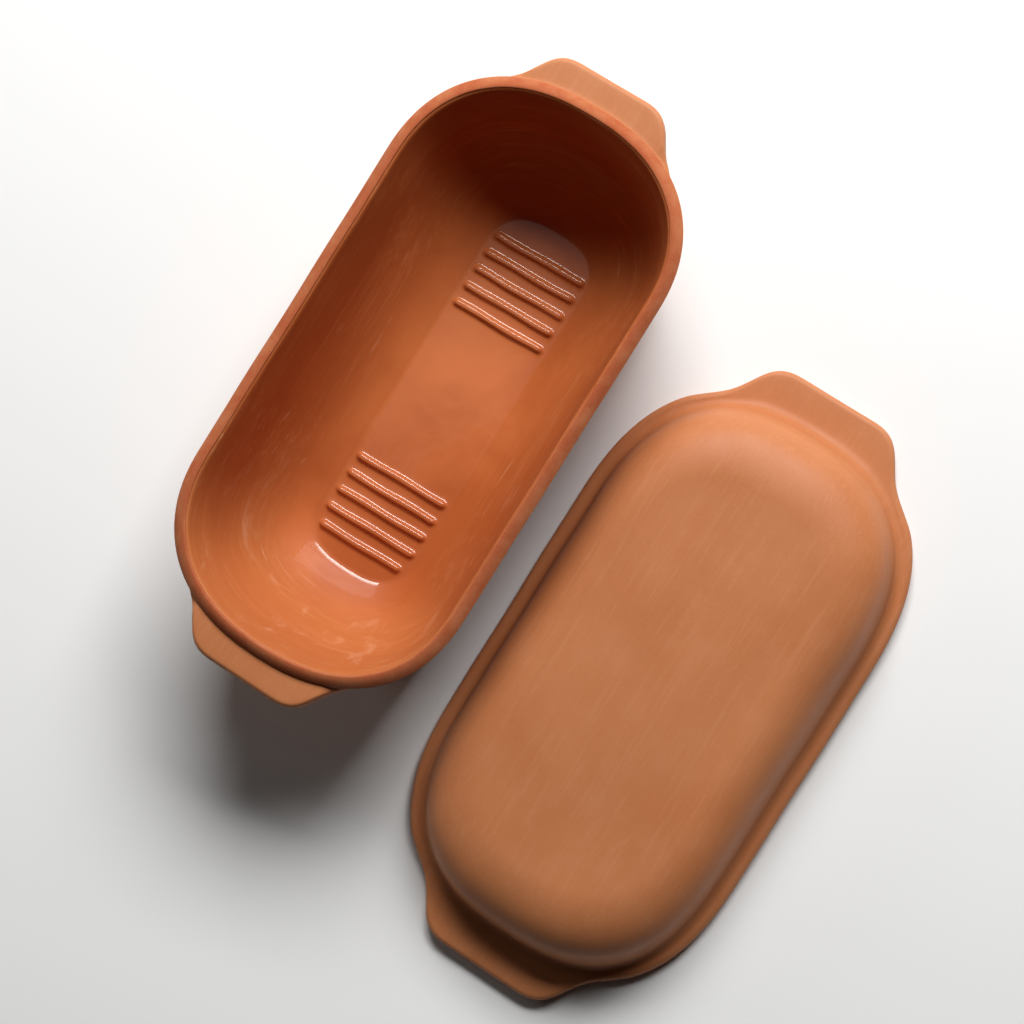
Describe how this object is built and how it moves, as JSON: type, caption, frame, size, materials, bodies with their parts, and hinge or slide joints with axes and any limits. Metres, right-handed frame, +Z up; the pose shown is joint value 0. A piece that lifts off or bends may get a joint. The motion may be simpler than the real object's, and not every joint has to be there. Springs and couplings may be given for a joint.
{
  "type": "clay baker",
  "caption": "Deep oval terracotta loaf dish with end lugs, glazed inside over a ribbed floor, and its domed lid lying beside it.",
  "frame": {"origin": "centre of the flat foot under the dish, on the surface that both pieces stand on", "axes": "+X across the dish towards the lid that lies beside it, +Y along the dish, +Z up out of the dish"},
  "size_m": [0.35, 0.4296, 0.093],
  "materials": {
    "dish_clay": "matte fired clay, smoothed by hand",
    "inside_glaze": "clear gloss glaze over the clay",
    "lid_clay": "matte fired clay, smoothed by hand"
  },
  "bodies": {
    "dish": {"dish_body": "dish_clay", "dish_glaze": "inside_glaze"},
    "lid": {"lid": "lid_clay"}
  },
  "joints": [
    {"name": "lid_lift", "type": "slide", "parent": "dish", "child": "lid", "axis": [0, 0, 1], "range_m": [0, 0.15]}
  ]
}
